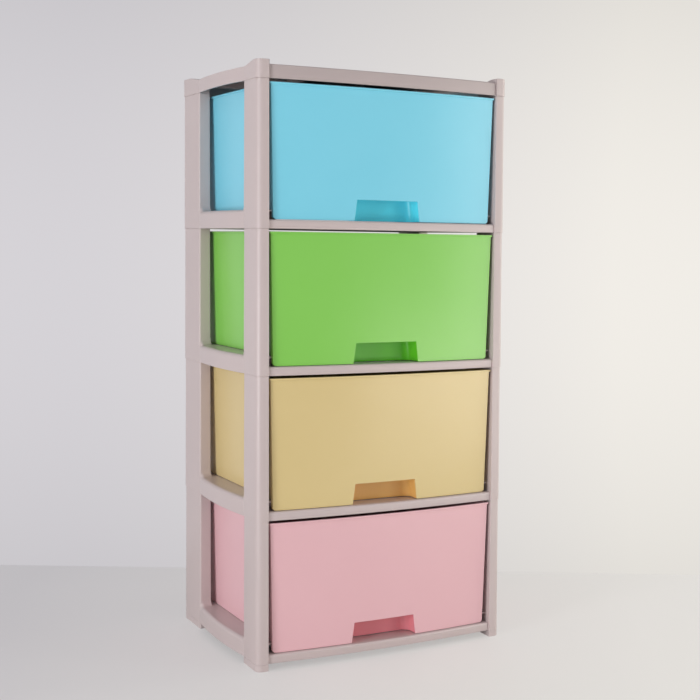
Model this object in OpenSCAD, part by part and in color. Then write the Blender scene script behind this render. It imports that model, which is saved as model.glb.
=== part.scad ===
// Four-drawer plastic tower: stacked side frames, cross rails, a top cover and four
// sliding drawers. X is the width, the drawer fronts face -Y, and Z is up.
// The origin is at the middle of the footprint, on the floor.

/* [Tower] */
// Width over the posts
tower_w = 410; // [330:1:520]
// Depth over the posts
tower_d = 336; // [290:1:420]
// Height of one tier, from seam to seam
tier_pitch = 212; // [160:1:300]
// Height of a foot below the lowest rail
foot_h = 10; // [6:1:30]
// Wall thickness of the frame mouldings
frame_wall = 2.4; // [1.6:0.1:3.2]
// Clearance around every spigot and tab, and over the runners
fit_gap = 0.3; // [0.2:0.05:0.5]

/* [Posts] */
// Width of a post, seen from the front
post_w = 18; // [14:0.5:24]
// Depth of a front post, seen from the side
front_post_d = 57; // [50:1:80]
// Depth of a rear post, seen from the side
rear_post_d = 80; // [50:1:90]
// Radius of a post's outer corner
post_r = 9; // [5:0.5:11]
// Radius of a post's edge beside the side window
post_edge_r = 2.5; // [1:0.5:4]
// How far a post's head is drawn in from its foot
post_draft = 0.8; // [0.2:0.1:1.2]
// Height of the spigot on a post's head
spigot_h = 12; // [8:1:20]

/* [Rails] */
// Height of a side rail, whose top is the drawer runner
side_rail_h = 27; // [20:1:36]
// Radius of a side rail's shoulder
side_edge_r = 6; // [2:0.5:10]
// How far a side rail bows outwards
side_bow = 6; // [2:0.5:12]
// How far the runner reaches inwards from the posts
runner_reach = 28; // [20:1:45]
// Radius where a side rail runs up into a post
window_r = 10; // [4:1:16]
// Height of a front or rear rail
cross_rail_h = 13; // [10:0.5:17]
// Depth of a front or rear rail at its ends
cross_rail_d = 40; // [30:1:60]
// How far a front or rear rail bows outwards
cross_bow = 9.5; // [2:0.5:12]
// Set-back of a cross rail's ends from the posts' faces
cross_setback = 3; // [2:0.5:10]
// Radius of a cross rail's exposed top edge
cross_edge_r = 3; // [1:0.5:5]
// Depth of the tab at each end of a cross rail
tab_d = 20; // [12:1:24]
// Number of ribs under a cross rail
cross_ribs = 7; // [2:1:12]
// Number of ribs across a side rail and its runner
runner_ribs = 4; // [2:1:8]

/* [Top cover] */
// Height of the corner caps above the top seam
cap_h = 26.5; // [22:0.5:40]
// Height of the rim above the top seam
rim_h = 20.5; // [15:0.5:21]
// Gap between the rim's lower edge at front and rear and the top seam
rim_lift = 0.5; // [0:0.5:4]
// Length of the curve from a corner cap's top down to the side rim
cap_sweep = 46; // [20:1:48]
// Radius of the rim's top edge at front and rear
rim_edge_r = 2; // [0.5:0.5:2]
// Number of stiffening ribs each way under the panel
cover_ribs = 3; // [1:1:6]

/* [Drawers] */
// Gap between the drawer front's top corner and the post
drawer_side_gap = 4; // [2.5:0.5:8]
// Gap between the front rail and the drawer front above it
drawer_foot_gap = 0.5; // [0.3:0.1:2]
// Gap between the drawer's rim and the tier above
drawer_top_gap = 4; // [2:0.5:10]
// Set-back of the drawer front's lower edge behind the front rail's face
drawer_setback = 5; // [3.5:0.5:10]
// Length of a drawer over its rim
drawer_l = 304; // [200:1:314]
// How much the front leans forwards over its height
front_draft = 3; // [1:0.5:3.5]
// How much the rear wall leans back over its height
rear_draft = 5; // [2:0.5:14]
// How much each side of the front widens over its height
side_draft = 5; // [1:0.5:6]
// How far the front panel stands out beyond the tub's side
panel_flange = 2.5; // [2:0.5:8]
// Depth of the solid edge at each side of the front panel
panel_return = 6; // [3:0.5:12]
// Thickness of the tub's walls and front
drawer_wall = 2.2; // [1.5:0.1:3]
// Width of the bead around the tub's top edge
bead_w = 1.5; // [0.5:0.1:2]
// Height of that bead
bead_h = 3; // [2:0.5:6]
// Radius of the tub's upright corners
tub_r = 9; // [5:0.5:16]
// Chamfer at the lower corners of the front
panel_chamfer = 3; // [1:0.5:5]

/* [Finger recess] */
// Width of the recess at the bottom edge of the front
recess_w = 108; // [80:1:150]
// How much narrower the recess is at its top
recess_taper = 8; // [2:1:20]
// Height of the recess's mouth
recess_h = 31; // [24:1:45]
// Depth of the recess behind the front
recess_d = 30; // [24:1:45]
// How far the recess reaches up behind the front, for the fingertips
recess_hook = 11; // [6:1:18]
// Radius of the recess's upright inner corners
recess_r = 13; // [6:0.5:16]

/* [Colours] */
// Frame
frame_colour = [0.76, 0.72, 0.71];
// Drawers, from the lowest up
drawer_colours = [[0.91, 0.72, 0.75], [0.86, 0.77, 0.57], [0.53, 0.79, 0.40], [0.51, 0.82, 0.90]];

/* [Hidden] */

tiers = 4;
arc_steps = 16;
corner_fn = 48;
eps = 0.01;
least_r = 0.6;
far = 2 * tower_w;

// Places that the pieces share
half_w = tower_w / 2;
half_d = tower_d / 2;
inner_x = half_w - post_w;
window_half = (tower_d - front_post_d - rear_post_d) / 2;
window_mid = (front_post_d - rear_post_d) / 2;
top_seam = foot_h + tiers * tier_pitch;
function seam(tier) = foot_h + (tier - 1) * tier_pitch;

// The tab of a cross rail and its slot in the post's inner wall
tab_h = cross_rail_h / 2;
tab_y = half_d - cross_setback - cross_rail_d / 2;

// The drawer, measured from the front panel's lower edge
front_y = -half_d + cross_setback + drawer_setback;
panel_z = cross_rail_h + drawer_foot_gap;
floor_z = side_rail_h + fit_gap;
drawer_h = tier_pitch - drawer_top_gap - panel_z;
floor_up = floor_z - panel_z;
foot_l = drawer_l - front_draft - rear_draft;
draft_y = foot_l * front_draft / (front_draft + rear_draft);
panel_top_half = inner_x - drawer_side_gap;
panel_foot_half = panel_top_half - side_draft;
tub_foot_half = panel_foot_half - panel_flange;
lean_x = side_draft / panel_foot_half;
lean_y = (front_draft + rear_draft) / foot_l;

// Radius of a shallow arc from -half to half that bulges by bow in the middle
function bow_r(half, bow) = (half * half + bow * bow) / (2 * bow);

// Its points, as distances beyond the chord
function bow_at(t, half, bow) =
  let (r = bow_r(half, bow))
  sqrt(r * r - t * t) - (r - bow);
function bow_points(half, bow) = [
  for (i = [0 : arc_steps])
    let (t = half * (2 * i / arc_steps - 1))
    [t, bow_at(t, half, bow)]
];

// Turns a profile, drawn at its distance behind the face, along such an arc
module along_bow(half, bow) {
  r = bow_r(half, bow);
  overrun = 1;
  angle = 2 * asin(half / r) + overrun;
  translate([0, r - bow, 0])
    rotate([0, 0, -90 - angle / 2])
      rotate_extrude(angle = angle, $fn = 360 * arc_steps / angle)
        translate([r, 0])
          children();
}

// Profile of a rail behind its face, with a rounded outer top edge, drawn in by inset
module rail_profile(depth, h, edge_r, inset = 0) {
  translate([-depth, 0])
    difference() {
      square([depth - inset, h - inset]);
      translate([depth - inset, h - inset])
        rotate(180)
          corner_waste(max(edge_r - inset, least_r));
    }
}

// ---- Posts ----

// What a rounded corner leaves off a square one at the origin
module corner_waste(r) {
  difference() {
    translate([-eps, -eps])
      square(r + eps);
    translate([r, r])
      circle(r = r, $fn = corner_fn);
  }
}

// Plan of a left post whose depth is $post_d, measured from its inner corner beside the
// window, so that a draft draws in only the outer faces
module post_plan(inset = 0) {
  w = post_w - 2 * inset;
  d = $post_d - 2 * inset;
  translate([-inset - w, -inset - d])
    difference() {
      square([w, d]);
      corner_waste(max(post_r - inset, least_r));
      translate([0, d])
        mirror([0, 1])
          corner_waste(max(post_edge_r - inset, least_r));
    }
}

module at_post() {
  translate([-inner_x, $post_d - half_d, 0])
    children();
}

module at_front() {
  $post_d = front_post_d;
  children();
}

module at_rear() {
  $post_d = rear_post_d;
  mirror([0, 1, 0])
    children();
}

module front_and_rear() {
  at_front()
    children();
  at_rear()
    children();
}

// The spigot's plan seats inside a post's hollow foot
module spigot(h) {
  linear_extrude(h)
    post_plan(frame_wall + fit_gap);
}

module post_solid(h) {
  at_post()
    linear_extrude(h, scale = [1 - post_draft / post_w, 1 - post_draft / $post_d], slices = 1)
      post_plan();
}

// The hollow that opens at a post's foot
module post_hollow(h) {
  at_post()
    translate([0, 0, -eps])
      linear_extrude(h)
        post_plan(frame_wall);
}

// ---- Side frame: two posts and a bowed rail, drawn for the left side ----

// The rail between the posts, drawn in by inset all round
module side_rail(inset = 0) {
  y = window_half - inset;
  translate([0, window_mid, 0])
    intersection() {
      translate([-half_w, 0, 0])
        rotate([0, 0, -90])
          along_bow(window_half, side_bow)
            rail_profile(post_w + 2 * side_bow, side_rail_h, side_edge_r, inset);
      translate([-far - inner_x - inset, -y, -far / 2])
        cube([far, 2 * y, far]);
    }
}

// The rail's ends run into the posts' walls
module side_rail_ends(h, edge_r) {
  reach = window_half + frame_wall / 2;
  translate([-half_w + edge_r, window_mid - reach, 0])
    cube([post_w - edge_r, 2 * reach, h]);
}

// The curve that runs from the rail's top up into a post
module window_fillet() {
  translate([-half_w + side_edge_r, $post_d - half_d, side_rail_h])
    rotate([90, 0, 90])
      linear_extrude(post_w - side_edge_r)
        corner_waste(window_r);
}

// The runner's plate, with a flange along its inner edge
module runner() {
  reach_y = -front_y - panel_return - fit_gap;
  plate_z = side_rail_h - frame_wall;
  translate([-inner_x - eps, -reach_y, plate_z])
    cube([runner_reach + eps, 2 * reach_y, frame_wall]);
  flange_y = half_d - cross_setback - cross_rail_d - fit_gap;
  translate([-inner_x + runner_reach - frame_wall, -flange_y, 0])
    cube([frame_wall, 2 * flange_y, plate_z + eps]);
}

// Ribs across the rail's hollow and under the runner
module ribs_under_runner() {
  step = 2 * window_half / (runner_ribs + 1);
  intersection() {
    union() {
      side_rail(frame_wall / 2);
      translate([-inner_x - frame_wall, window_mid - window_half, 0])
        cube([runner_reach + frame_wall / 2, 2 * window_half, side_rail_h - frame_wall / 2]);
    }
    for (i = [1 : runner_ribs])
      translate([-far, window_mid - window_half + i * step - frame_wall / 2, 0])
        cube([far, frame_wall, side_rail_h]);
  }
}

// The slot in a post's inner wall that takes a cross rail's tab
module tab_slot() {
  translate([-inner_x - frame_wall - eps, -tab_y - tab_d / 2 - fit_gap, frame_wall - fit_gap])
    cube([frame_wall + 2 * eps, tab_d + 2 * fit_gap, tab_h + 2 * fit_gap]);
}

module side_frame() {
  color(frame_colour) {
    difference() {
      union() {
        front_and_rear()
          post_solid(tier_pitch);
        side_rail();
        side_rail_ends(side_rail_h, side_edge_r);
        front_and_rear()
          window_fillet();
        runner();
      }
      front_and_rear()
        post_hollow(tier_pitch - frame_wall);
      translate([0, 0, -eps])
        side_rail(frame_wall);
      front_and_rear()
        tab_slot();
    }
    ribs_under_runner();
    front_and_rear()
      at_post()
        translate([0, 0, tier_pitch - eps])
          spigot(spigot_h);
  }
}

// ---- Cross rail: a bowed channel under a drawer front, drawn for the front ----

// Keeps what lies between the posts and in front of a rear plane
module between_posts(depth, inset = 0) {
  x = inner_x - inset;
  intersection() {
    children();
    translate([-x, -far - half_d + cross_setback + depth - inset, -far / 2])
      cube([2 * x, far, far]);
  }
}

// The rail's outline, drawn in by inset all round
module cross_rail_body(inset = 0) {
  between_posts(cross_rail_d, inset)
    translate([0, -half_d + cross_setback, 0])
      along_bow(inner_x, cross_bow)
        rail_profile(cross_rail_d + 2 * cross_bow, cross_rail_h, cross_edge_r, inset);
}

// The tab at the left end
module tab() {
  translate([-inner_x - frame_wall, -tab_y - tab_d / 2, frame_wall])
    cube([frame_wall + eps, tab_d, tab_h]);
}

module cross_rail() {
  step = 2 * inner_x / (cross_ribs + 1);
  color(frame_colour) {
    difference() {
      cross_rail_body();
      translate([0, 0, -eps])
        cross_rail_body(frame_wall);
    }
    intersection() {
      cross_rail_body(frame_wall / 2);
      for (i = [1 : cross_ribs])
        translate([-inner_x + i * step - frame_wall / 2, -half_d, 0])
          cube([frame_wall, half_d, cross_rail_h]);
    }
    tab();
    mirror([1, 0, 0])
      tab();
  }
}

// ---- Foot: a short plug under a lowest post, drawn for the left side ----

module foot() {
  color(frame_colour)
    at_post() {
      linear_extrude(foot_h)
        post_plan();
      translate([0, 0, foot_h - eps])
        spigot(spigot_h);
    }
}

// ---- Top cover ----

// The height of a cap's top at a distance behind its front, an S-curve down to the rim
function cap_top(y) =
  let (t = min(max((y - $post_d + cap_sweep) / cap_sweep, 0), 1))
  rim_h + (cap_h - rim_h) * (1 + cos(180 * t)) / 2;

// What the curve takes off the cap, seen from the side
module cap_waste() {
  polygon(concat(
    [for (i = [0 : arc_steps]) let (y = $post_d - cap_sweep * (1 - i / arc_steps)) [y, cap_top(y)]],
    [[2 * $post_d, rim_h], [2 * $post_d, 2 * cap_h], [$post_d - cap_sweep, 2 * cap_h]]
  ));
}

module cap() {
  soft = rim_edge_r / 2;
  difference() {
    at_post() {
      linear_extrude(cap_h - soft)
        post_plan();
      translate([0, 0, cap_h - soft])
        linear_extrude(soft, scale = [1 - soft / post_w, 1 - soft / $post_d], slices = 1)
          post_plan();
    }
    translate([-far, -half_d, 0])
      rotate([90, 0, 90])
        linear_extrude(far)
          cap_waste();
    post_hollow(spigot_h + fit_gap);
  }
}

// Plan of the rim along a side, drawn in by inset all round
module side_rim_plan(inset = 0) {
  outer = [for (p = bow_points(window_half, side_bow)) [-half_w - p[1] + inset, p[0]]];
  translate([0, window_mid])
    intersection() {
      polygon(concat(outer, [[-inner_x - inset, window_half], [-inner_x - inset, -window_half]]));
      translate([-far, -window_half + inset])
        square([far, 2 * (window_half - inset)]);
    }
}

module side_rim() {
  difference() {
    union() {
      linear_extrude(rim_h)
        side_rim_plan();
      side_rail_ends(rim_h - frame_wall, post_edge_r);
    }
    front_and_rear()
      post_hollow(spigot_h + fit_gap);
    translate([0, 0, -eps])
      linear_extrude(rim_h - frame_wall)
        side_rim_plan(frame_wall);
  }
}

module front_rim() {
  between_posts(cross_rail_d)
    translate([0, -half_d + cross_setback, 0])
      along_bow(inner_x, cross_bow)
        translate([-frame_wall, rim_lift])
          difference() {
            square([frame_wall, rim_h - rim_lift]);
            translate([frame_wall, rim_h - rim_lift])
              rotate(180)
                corner_waste(rim_edge_r);
          }
}

// Plan of the panel, whose edges run into the rims
module cover_plan() {
  half = inner_x + frame_wall / 2;
  edge = half_d - cross_setback - rim_edge_r;
  front = [for (p = bow_points(half, cross_bow)) [p[0], -edge - p[1]]];
  rear = [for (i = [arc_steps : -1 : 0]) [front[i][0], -front[i][1]]];
  polygon(concat(front, rear));
}

module ribs_under_cover() {
  rib_h = rim_h / 2;
  step_x = 2 * inner_x / (cover_ribs + 1);
  step_y = 2 * half_d / (cover_ribs + 1);
  translate([0, 0, rim_h - rib_h])
    linear_extrude(rib_h - frame_wall / 2)
      intersection() {
        cover_plan();
        for (i = [1 : cover_ribs]) {
          translate([-inner_x + i * step_x - frame_wall / 2, -half_d])
            square([frame_wall, tower_d]);
          translate([-half_w, -half_d + i * step_y - frame_wall / 2])
            square([tower_w, frame_wall]);
        }
      }
}

module left_edge_of_cover() {
  front_and_rear()
    cap();
  side_rim();
}

module top_cover() {
  color(frame_colour) {
    left_edge_of_cover();
    mirror([1, 0, 0])
      left_edge_of_cover();
    front_and_rear()
      front_rim();
    translate([0, 0, rim_h - frame_wall])
      linear_extrude(frame_wall)
        cover_plan();
    ribs_under_cover();
  }
}

// ---- Drawer, measured from the middle of its front panel's lower edge ----

// Leans the walls outwards as the tub rises, about the draft's still line
module leaning(h) {
  share = h / drawer_h;
  translate([0, draft_y, 0])
    linear_extrude(h, scale = [1 + share * lean_x, 1 + share * lean_y], slices = 1)
      translate([0, -draft_y])
        children();
}

// Plan of what lies behind the bowed face, between -half and half, up to y = end;
// the face can be moved back by back
module behind_face(half, back, end) {
  reach = panel_foot_half + 2 * bead_w;
  face = [
    for (i = [0 : arc_steps])
      let (t = reach * (2 * i / arc_steps - 1))
      [t, back - bow_at(t, reach, cross_bow)]
  ];
  intersection() {
    polygon(concat(face, [[reach, end], [-reach, end]]));
    translate([-half, -far])
      square([2 * half, 2 * far]);
  }
}

// Plan of the tub, grown by grow all round, with its front wall's face moved back
module tub_plan(grow = 0, back = 0) {
  half = tub_foot_half + grow;
  end = foot_l + grow;
  difference() {
    behind_face(half, back, end);
    translate([-half, end])
      mirror([0, 1])
        corner_waste(tub_r + grow);
    translate([half, end])
      rotate(180)
        corner_waste(tub_r + grow);
  }
}

// Plan of the front with its solid edges, before the inside is taken out
module front_plan(grow = 0) {
  behind_face(panel_foot_half + grow, -grow, panel_return + grow);
}

module bead() {
  translate([0, draft_y, drawer_h - bead_h])
    linear_extrude(bead_h)
      scale([1 + lean_x, 1 + lean_y])
        translate([0, -draft_y]) {
          tub_plan(bead_w);
          front_plan(bead_w);
        }
}

module slab(from, h) {
  intersection() {
    children();
    translate([-far / 2, -far / 2, from])
      cube([far, far, h]);
  }
}

// The open box: a tub with a front that hangs below its floor
module box() {
  difference() {
    union() {
      slab(floor_up, tier_pitch)
        leaning(drawer_h)
          tub_plan(0, drawer_wall / 2);
      leaning(drawer_h)
        front_plan();
      bead();
    }
    slab(floor_up + drawer_wall, tier_pitch)
      leaning(tier_pitch)
        tub_plan(-drawer_wall, drawer_wall);
    slab(-tier_pitch, tier_pitch + floor_up)
      translate([0, 0, -eps])
        leaning(drawer_h)
          tub_plan(-drawer_wall, drawer_wall);
  }
}

// Plan of the finger recess, from y = from back to its depth
module recess_plan(from, grow = 0) {
  half = recess_w / 2 + grow;
  back = recess_d - cross_bow + grow;
  r = recess_r + grow;
  hull() {
    translate([-half, from])
      square([2 * half, eps]);
    for (side = [-1, 1])
      translate([side * (half - r), back - r])
        circle(r = r, $fn = corner_fn);
  }
}

module recess_prism(from, h, grow = 0) {
  narrowing = 1 - recess_taper * h / (recess_h * recess_w);
  linear_extrude(h, scale = [narrowing, 1], slices = 1)
    recess_plan(from, grow);
}

// The walls that close the recess off from the tub
module recess_hood() {
  recess_prism(-cross_bow + drawer_wall / 2, recess_h + recess_hook + drawer_wall, drawer_wall);
}

// Above the mouth, the pocket stops behind the front wall
module recess_pocket() {
  difference() {
    translate([0, 0, -eps])
      recess_prism(-2 * cross_bow - front_draft, recess_h + recess_hook);
    translate([-far / 2, -far - cross_bow + drawer_wall, recess_h])
      cube([far, far, far]);
  }
}

module panel_corner_cut() {
  rotate([90, 0, 0])
    linear_extrude(far, center = true)
      translate([-panel_foot_half, 0])
        polygon([
          [-eps, -eps],
          [panel_chamfer, -eps],
          [panel_chamfer, 0],
          [0, panel_chamfer],
          [-eps, panel_chamfer]
        ]);
}

module drawer_shell() {
  difference() {
    union() {
      box();
      recess_hood();
    }
    recess_pocket();
    panel_corner_cut();
    mirror([1, 0, 0])
      panel_corner_cut();
  }
}

module drawer(tier) {
  color(drawer_colours[tier - 1])
    translate([0, front_y, panel_z])
      drawer_shell();
}

// ---- The nodes ----

module raised(tier) {
  translate([0, 0, seam(tier)])
    children();
}

module left_side(tier) { raised(tier) side_frame(); }
module right_side(tier) { raised(tier) mirror([1, 0, 0]) side_frame(); }
module front_rail(tier) { raised(tier) cross_rail(); }
module rear_rail(tier) { raised(tier) rotate([0, 0, 180]) cross_rail(); }

for (tier = [1 : tiers]) {
  left_side(tier);
  right_side(tier);
  front_rail(tier);
  rear_rail(tier);
  raised(tier) drawer(tier);
}
at_front() foot();  // foot_front_left
mirror([1, 0, 0]) at_front() foot();  // foot_front_right
at_rear() foot();  // foot_rear_left
mirror([1, 0, 0]) at_rear() foot();  // foot_rear_right
translate([0, 0, top_seam]) top_cover();
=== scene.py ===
"""Looks of a four-drawer plastic tower: frame mouldings, cross rails, cover and drawers."""

import math

import bmesh
import bpy
from bpy.props import FloatProperty, FloatVectorProperty, IntProperty, PointerProperty
from mathutils import Matrix, Vector


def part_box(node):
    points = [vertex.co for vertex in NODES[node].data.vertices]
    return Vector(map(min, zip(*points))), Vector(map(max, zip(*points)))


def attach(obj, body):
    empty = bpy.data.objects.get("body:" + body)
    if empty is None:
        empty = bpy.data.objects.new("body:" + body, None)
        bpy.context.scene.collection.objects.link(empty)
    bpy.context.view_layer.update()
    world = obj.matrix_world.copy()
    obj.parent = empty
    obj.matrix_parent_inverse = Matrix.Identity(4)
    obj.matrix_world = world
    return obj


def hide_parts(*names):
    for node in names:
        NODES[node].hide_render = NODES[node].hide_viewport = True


bl_info = {
    "name": "Drawer tower",
    "version": (1, 0, 0),
    "blender": (4, 5, 0),
    "location": "3D View > Sidebar > Drawer tower",
    "description": "Dresses a packed plastic drawer tower in softened mouldings and plastics",
    "category": "Object",
}

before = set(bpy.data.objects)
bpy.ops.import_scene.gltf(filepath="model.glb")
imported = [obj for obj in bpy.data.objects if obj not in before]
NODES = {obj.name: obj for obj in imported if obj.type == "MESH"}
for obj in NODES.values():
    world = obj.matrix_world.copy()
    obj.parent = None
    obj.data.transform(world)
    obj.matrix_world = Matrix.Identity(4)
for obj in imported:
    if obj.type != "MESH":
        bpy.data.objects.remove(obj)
TIERS = (1, 2, 3, 4)
DRAWER_SLOTS = ("pink_drawer", "cream_drawer", "green_drawer", "blue_drawer")
STAGGER = 0.0001  # keeps faces that overlap inside one moulding out of one plane
LAP = 0.0015  # how far the floor of a drawer runs into its front panel
BOW_MARGIN = 0.003  # the front's bow is drawn this far past the panel's sides
BOW_STEPS = 32
CROSS_STEPS = 48

FOOT_LOW, FOOT_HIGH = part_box("foot_front_left")
HALF_W, HALF_D = -FOOT_LOW.x, -FOOT_LOW.y
POST_INNER_X = -FOOT_HIGH.x
FOOT_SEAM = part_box("left_side_1")[0].z
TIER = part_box("left_side_2")[0].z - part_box("left_side_1")[0].z


# ---- Values that a user would change ----


def length(name, description, default, low, high):
    return FloatProperty(name=name, description=description, default=default, min=low, max=high,
                         unit="LENGTH", precision=4)


def tone(name, description, default):
    return FloatVectorProperty(name=name, description=description, default=default, size=3,
                               min=0, max=1, subtype="COLOR")


def fraction(name, description, default, low, high):
    return FloatProperty(name=name, description=description, default=default, min=low, max=high,
                         subtype="FACTOR")


def watts(name, description, default, high):
    return FloatProperty(name=name, description=description + ", in watts", default=default,
                         min=0, max=high)


class TowerShape(bpy.types.PropertyGroup):
    """Sizes of the mouldings"""

    frame_edge: length("Frame edge", "Rounding of the frame's edges", 0.0006, 0.0002, 0.001)
    frame_wall: length("Frame wall", "Wall thickness of the frame", 0.0024, 0.0015, 0.0035)
    front_post: length("Front post", "Depth of a front post", 0.057, 0.05, 0.08)
    rear_post: length("Rear post", "Depth of a rear post", 0.080, 0.05, 0.09)
    post_round: length("Post rounding", "Radius of a post's outer corner", 0.009, 0.004, 0.012)
    post_edge: length("Post edge", "Radius beside the window", 0.0025, 0.001, 0.004)
    post_draft: length("Post draft", "How far a post narrows upwards", 0.0008, 0, 0.001)
    side_rail: length("Side rail", "Height of a side rail", 0.027, 0.02, 0.036)
    side_round: length("Side rail shoulder", "Radius of its upper edge", 0.006, 0.003, 0.01)
    side_bow: length("Side bow", "How far a side rail bows outwards", 0.006, 0.002, 0.012)
    window_round: length("Window rounding", "Radius of a window's lower corners",
                         0.010, 0.004, 0.016)
    runner: length("Runner", "Width of a drawer's runner", 0.028, 0.02, 0.03)
    runner_half: length("Runner reach", "Half the runner's length", 0.1537, 0.14, 0.16)
    flange_half: length("Flange reach", "Half the length of the runner's flange", 0.1247, 0.1, 0.13)
    runner_ribs: IntProperty(name="Runner ribs", description="Number of ribs under a side rail",
                             default=4, min=2, max=8)
    rail_bow: length("Front bow", "How far the cross rails and fronts bow out",
                     0.0095, 0.002, 0.012)
    rail_depth: length("Rail depth", "Depth of a cross rail at its ends", 0.040, 0.03, 0.06)
    rail_round: length("Rail rounding", "Radius of a cross rail's upper edge", 0.003, 0.001, 0.005)
    rail_ribs: IntProperty(name="Rail ribs", description="Number of ribs under a cross rail",
                           default=7, min=2, max=12)
    cross_setback: length("Setback", "How far the cross rails stand back", 0.003, 0.002, 0.01)
    cap_height: length("Cap height", "Height of the cover's caps", 0.0265, 0.022, 0.0265)
    cap_sweep: length("Cap sweep", "Length of a cap's curve down to the rim", 0.046, 0.02, 0.056)
    rim_height: length("Rim height", "Height of the cover's rim", 0.0205, 0.015, 0.0215)
    rim_round: length("Rim rounding", "Radius of the rim's upper edge", 0.002, 0.001, 0.003)
    rim_lift: length("Rim lift", "Gap under the front rim's edge", 0.0005, 0, 0.002)
    cover_ribs: IntProperty(name="Cover ribs", description="Ribs under the cover, each way",
                            default=3, min=1, max=6)
    drawer_edge: length("Drawer edge", "Rounding of the drawers' edges", 0.0006, 0.0002, 0.001)
    drawer_wall: length("Drawer wall", "Wall thickness of a drawer", 0.0022, 0.0015, 0.003)
    drawer_height: length("Drawer height", "From the panel's foot to the rim", 0.1945, 0.15, 0.1945)
    drawer_length: length("Drawer length", "From the face to the rear at the rim",
                          0.304, 0.2, 0.304)
    drawer_setback: length("Drawer setback", "From the posts' front to the face",
                           0.008, 0.006, 0.015)
    front_draft: length("Front draft", "How far the front leans out", 0.003, 0, 0.004)
    rear_draft: length("Rear draft", "How far the rear leans out", 0.005, 0, 0.005)
    side_draft: length("Side draft", "How far each side leans out", 0.005, 0.002, 0.005)
    panel_half: length("Panel half", "Half the width of the panel's foot", 0.178, 0.16, 0.178)
    panel_flange: length("Panel flange", "How far the panel stands out beside the tub",
                         0.0025, 0.001, 0.005)
    panel_return: length("Panel return", "Depth of the panel's side edges", 0.006, 0.003, 0.012)
    panel_chamfer: length("Panel chamfer", "Cut at the panel's lower corners", 0.003, 0.001, 0.006)
    tub_round: length("Tub rounding", "Radius of the tub's rear corners", 0.009, 0.004, 0.015)
    floor_rise: length("Floor rise", "From the panel's foot to the floor", 0.0138, 0.0138, 0.02)
    bead_width: length("Bead width", "How far the rim's bead stands out", 0.0015, 0.0005, 0.0015)
    bead_height: length("Bead height", "Height of the rim's bead", 0.003, 0.001, 0.006)
    recess_width: length("Recess width", "Width of the finger recess at its foot",
                         0.108, 0.08, 0.12)
    recess_taper: length("Recess taper", "How much narrower it is at its top", 0.008, 0, 0.016)
    recess_height: length("Recess height", "Height of its mouth", 0.031, 0.02, 0.04)
    recess_depth: length("Recess depth", "Depth of the recess", 0.030, 0.02, 0.04)
    recess_hook: length("Recess hook", "Height of the pocket above its mouth", 0.011, 0.005, 0.015)
    recess_round: length("Recess rounding", "Radius of its rear corners", 0.013, 0.005, 0.016)


class TowerFinish(bpy.types.PropertyGroup):
    """Colours and surface of the plastics, with painted shade for the cover's panel and painted
    bounce light for the finger pockets
    """

    frame_colour: tone("Frame", "Colour of the frame's plastic", (0.575, 0.485, 0.475))
    pink: tone("Lowest drawer", "Colour of the lowest drawer", (0.80, 0.485, 0.52))
    cream: tone("Second drawer", "Colour of the second drawer", (0.70, 0.55, 0.26))
    green: tone("Third drawer", "Colour of the third drawer", (0.235, 0.605, 0.095))
    blue: tone("Top drawer", "Colour of the top drawer", (0.216, 0.665, 0.83))
    # The pocket tones are painted bounce light: deeper tones of the drawers' plastics for inside
    # the finger pockets
    pink_pocket: tone("Pink pocket", "Tone inside the pink drawer's finger pocket",
                      (0.8, 0.27, 0.31))
    cream_pocket: tone("Cream pocket", "Tone inside the cream drawer's finger pocket",
                       (0.78, 0.45, 0.14))
    green_pocket: tone("Green pocket", "Tone inside the green drawer's finger pocket",
                       (0.118, 0.545, 0.02))
    blue_pocket: tone("Blue pocket", "Tone inside the blue drawer's finger pocket",
                      (0.115, 0.8, 0.95))
    # Painted shade: the cover's panel and cross rims are drawn darker than the frame's plastic
    cover_painted_shade: fraction("Cover shade", "Brightness of the cover's panel beside the frame",
                          0.84, 0.5, 1)
    roughness: fraction("Drawer roughness", "Roughness of the drawers' polish", 0.26, 0.1, 0.6)
    frame_roughness: fraction("Frame roughness", "Roughness of the frame's satin finish",
                              0.33, 0.1, 0.7)


class StudioSettings(bpy.types.PropertyGroup):
    """Camera, floor and lamps"""

    focal: FloatProperty(name="Focal length", description="Focal length on a 36 mm wide sensor",
                         default=69.42, min=20, max=200)
    floor_colour: tone("Floor", "Colour of the floor", (0.80, 0.79, 0.78))
    wall_left: tone("Wall, left", "Tone of the backdrop at the left", (0.67, 0.65, 0.68))
    wall_right: tone("Wall, right", "Tone of the backdrop at the right", (0.88, 0.85, 0.80))
    wall_falloff: fraction("Wall falloff", "How much the wall darkens above and below", 0.13, 0, 1)
    left_power: watts("Left lamp", "Power of the soft lamp at the left", 48.0, 200)
    right_power: watts("Right lamp", "Power of the soft lamp at the right", 30.0, 200)
    strip_power: watts("Strip lamp", "Power of the upright lamp at the front right", 20.0, 200)
    low_power: watts("Low lamps", "Power of the small lamps near the floor", 15.0, 50)
    room_light: FloatProperty(name="Room light", default=0.42, min=0, max=2,
                              description="Strength of the even light from the room")


# ---- Small makers ----


def new_object(name, mesh):
    made = bpy.data.objects.new(name, mesh)
    bpy.context.scene.collection.objects.link(made)
    return made


def node_maker(tree):
    """Returns a short way to add a node with its settings and its inputs."""

    def make(kind, inputs=(), **settings):
        node = tree.nodes.new(kind)
        for key, value in settings.items():
            setattr(node, key, value)
        for key, value in dict(inputs).items():
            if isinstance(value, bpy.types.NodeSocket):
                tree.links.new(value, node.inputs[key])
            else:
                node.inputs[key].default_value = value
        return node

    return make


def math_maker(make):
    def calc(operation, first, second=0.0):
        return make("ShaderNodeMath", {0: first, 1: second}, operation=operation).outputs[0]

    return calc


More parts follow.
